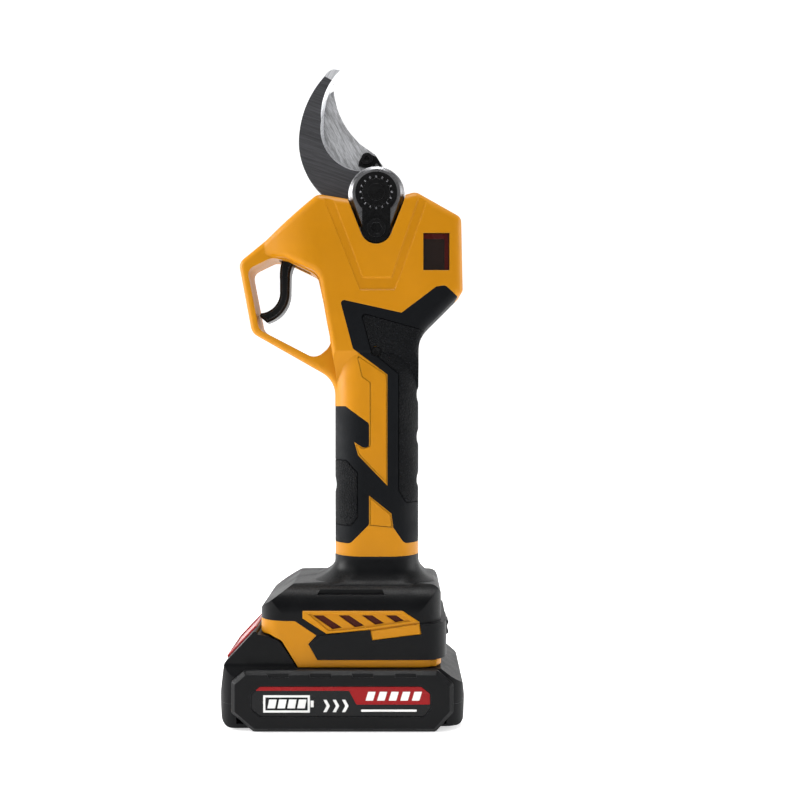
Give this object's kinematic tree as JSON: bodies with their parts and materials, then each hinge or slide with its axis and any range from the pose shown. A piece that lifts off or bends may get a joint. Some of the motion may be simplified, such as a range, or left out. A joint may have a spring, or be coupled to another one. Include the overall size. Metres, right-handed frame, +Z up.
{
  "type": "battery electric pruner",
  "caption": "Cordless electric pruner: hooked bypass blades on a geared head, a straight soft grip with a guarded trigger, and a base with a slide-on battery.",
  "frame": {"origin": "centre of the battery pack's underside, on the surface that the tool stands on", "axes": "+Z up towards the blades; -X towards the trigger; -Y towards the side with the blades' lock nut and the display"},
  "size_m": [0.112, 0.075, 0.3079],
  "materials": {
    "amber_plastic": "fine texture",
    "inlay_plastic": "smooth",
    "grip_rubber": "soft, matte",
    "pad_rubber": "fine pebble texture",
    "base_plastic": "matte",
    "pack_plastic": "fine texture",
    "panel_plastic": "satin",
    "smoked_window": "smoked",
    "circuit_board": "solder mask",
    "cast_metal": "as cast",
    "cover_steel": "satin, bevelled edge",
    "black_steel": "black oxide",
    "hook_coating": "brushed dark coating",
    "blade_steel": "ground across",
    "gear_steel": "hobbed",
    "bronze": "sintered",
    "motor_steel": "turned",
    "winding_copper": "enamelled wire",
    "contact_brass": "plated",
    "wire_insulation": "smooth",
    "spring_steel": "drawn wire",
    "trigger_plastic": "satin",
    "switch_plastic": "satin",
    "red_plastic": "gloss",
    "cell_wrap": "shrink wrap"
  },
  "bodies": {
    "handle": {"front_housing": "amber_plastic", "back_housing": "amber_plastic", "front_grip_cover": "grip_rubber", "back_grip_cover": "grip_rubber", "front_grip_pads": "pad_rubber", "back_grip_pads": "pad_rubber", "grip_inlays": "inlay_plastic", "display_window": "smoked_window", "display_board": "circuit_board", "fixed_blade": "hook_coating", "fixed_blade_screws": "black_steel", "gear_frame": "cast_metal", "pivot_cover": "cover_steel", "lock_plate": "black_steel", "pivot_nut": "black_steel", "lock_screw": "black_steel", "pivot_bolt": "black_steel", "ring_gear": "gear_steel", "gearbox_plate": "cast_metal", "pinion_bearing": "gear_steel", "motor_can": "motor_steel", "motor_stator": "winding_copper", "motor_bearings": "gear_steel", "trigger_pin": "gear_steel", "trigger_spring": "spring_steel", "trigger_sensor": "circuit_board", "front_base": "base_plastic", "back_base": "base_plastic", "battery_shoe": "amber_plastic", "front_vent_grille": "amber_plastic", "back_vent_grille": "amber_plastic", "controller_board": "circuit_board", "motor_wires": "wire_insulation", "battery_wires": "wire_insulation", "terminal_block": "base_plastic", "terminal_blades": "contact_brass", "switch_frame": "switch_plastic", "housing_screws": "black_steel"},
    "blade": {"moving_blade": "blade_steel", "blade_clip": "black_steel", "blade_screws": "black_steel", "sector_gear": "gear_steel", "pivot_bush": "bronze"},
    "pinion": {"bevel_pinion": "gear_steel"},
    "upper_planet_a": {"upper_planet_1": "gear_steel"},
    "upper_planet_b": {"upper_planet_2": "gear_steel"},
    "upper_planet_c": {"upper_planet_3": "gear_steel"},
    "carrier": {"planet_carrier": "gear_steel"},
    "lower_planet_a": {"lower_planet_1": "gear_steel"},
    "lower_planet_b": {"lower_planet_2": "gear_steel"},
    "lower_planet_c": {"lower_planet_3": "gear_steel"},
    "rotor": {"motor_rotor": "motor_steel"},
    "trigger": {"trigger": "trigger_plastic"},
    "rocker": {"power_switch": "switch_plastic"},
    "battery": {"battery_case_upper": "pack_plastic", "battery_case_lower": "pack_plastic", "battery_side_panels": "panel_plastic", "battery_cells": "cell_wrap", "battery_board": "circuit_board"},
    "button": {"release_button": "red_plastic"}
  },
  "joints": [
    {"name": "blade_pivot", "type": "hinge", "parent": "handle", "child": "blade", "pos_m": [0.0154, 0, 0.2465], "axis": [0, 1, 0], "range_deg": [0, 50]},
    {"name": "pinion_spin", "type": "hinge", "parent": "handle", "child": "pinion", "pos_m": [0.0154, 0, 0.2165], "axis": [0, 0, 1], "range_deg": [0, 200]},
    {"name": "upper_planet_a_spin", "type": "hinge", "parent": "pinion", "child": "upper_planet_a", "pos_m": [0.0226, 0, 0.1777], "axis": [0, 0, 1], "range_deg": [-600, 0]},
    {"name": "upper_planet_b_spin", "type": "hinge", "parent": "pinion", "child": "upper_planet_b", "pos_m": [0.0118, 0.00624, 0.1777], "axis": [0, 0, 1], "range_deg": [-600, 0]},
    {"name": "upper_planet_c_spin", "type": "hinge", "parent": "pinion", "child": "upper_planet_c", "pos_m": [0.0118, -0.00624, 0.1777], "axis": [0, 0, 1], "range_deg": [-600, 0]},
    {"name": "carrier_spin", "type": "hinge", "parent": "handle", "child": "carrier", "pos_m": [0.0154, 0, 0.17], "axis": [0, 0, 1], "range_deg": [0, 800]},
    {"name": "lower_planet_a_spin", "type": "hinge", "parent": "carrier", "child": "lower_planet_a", "pos_m": [0.0226, 0, 0.1649], "axis": [0, 0, 1], "range_deg": [-2400, 0]},
    {"name": "lower_planet_b_spin", "type": "hinge", "parent": "carrier", "child": "lower_planet_b", "pos_m": [0.0118, 0.00624, 0.1649], "axis": [0, 0, 1], "range_deg": [-2400, 0]},
    {"name": "lower_planet_c_spin", "type": "hinge", "parent": "carrier", "child": "lower_planet_c", "pos_m": [0.0118, -0.00624, 0.1649], "axis": [0, 0, 1], "range_deg": [-2400, 0]},
    {"name": "rotor_spin", "type": "hinge", "parent": "handle", "child": "rotor", "pos_m": [0.0154, 0, 0.134], "axis": [0, 0, 1], "range_deg": [0, 3200]},
    {"name": "trigger_pull", "type": "hinge", "parent": "handle", "child": "trigger", "pos_m": [-0.0215, 0, 0.224], "axis": [0, -1, 0], "range_deg": [0, 14], "stiffness_Nm_per_rad": 0.15, "springref_deg": -8.59},
    {"name": "power_rocker", "type": "hinge", "parent": "handle", "child": "rocker", "pos_m": [0.0466, 0, 0.0405], "axis": [0, 1, 0], "range_deg": [-6, 6]},
    {"name": "battery_slide", "type": "slide", "parent": "handle", "child": "battery", "axis": [-1, 0, 0], "range_m": [0, 0.09]},
    {"name": "button_press", "type": "slide", "parent": "battery", "child": "button", "axis": [0.7242, 0, -0.6896], "range_m": [0, 0.0025], "stiffness_N_per_m": 1200, "springref_m": -0.002}
  ],
  "couplings": [
    {"joint": "pinion_spin", "follows": "blade_pivot", "ratio": 4},
    {"joint": "carrier_spin", "follows": "blade_pivot", "ratio": 16},
    {"joint": "rotor_spin", "follows": "blade_pivot", "ratio": 64},
    {"joint": "upper_planet_a_spin", "follows": "blade_pivot", "ratio": -12},
    {"joint": "upper_planet_b_spin", "follows": "blade_pivot", "ratio": -12},
    {"joint": "upper_planet_c_spin", "follows": "blade_pivot", "ratio": -12},
    {"joint": "lower_planet_a_spin", "follows": "blade_pivot", "ratio": -48},
    {"joint": "lower_planet_b_spin", "follows": "blade_pivot", "ratio": -48},
    {"joint": "lower_planet_c_spin", "follows": "blade_pivot", "ratio": -48}
  ]
}
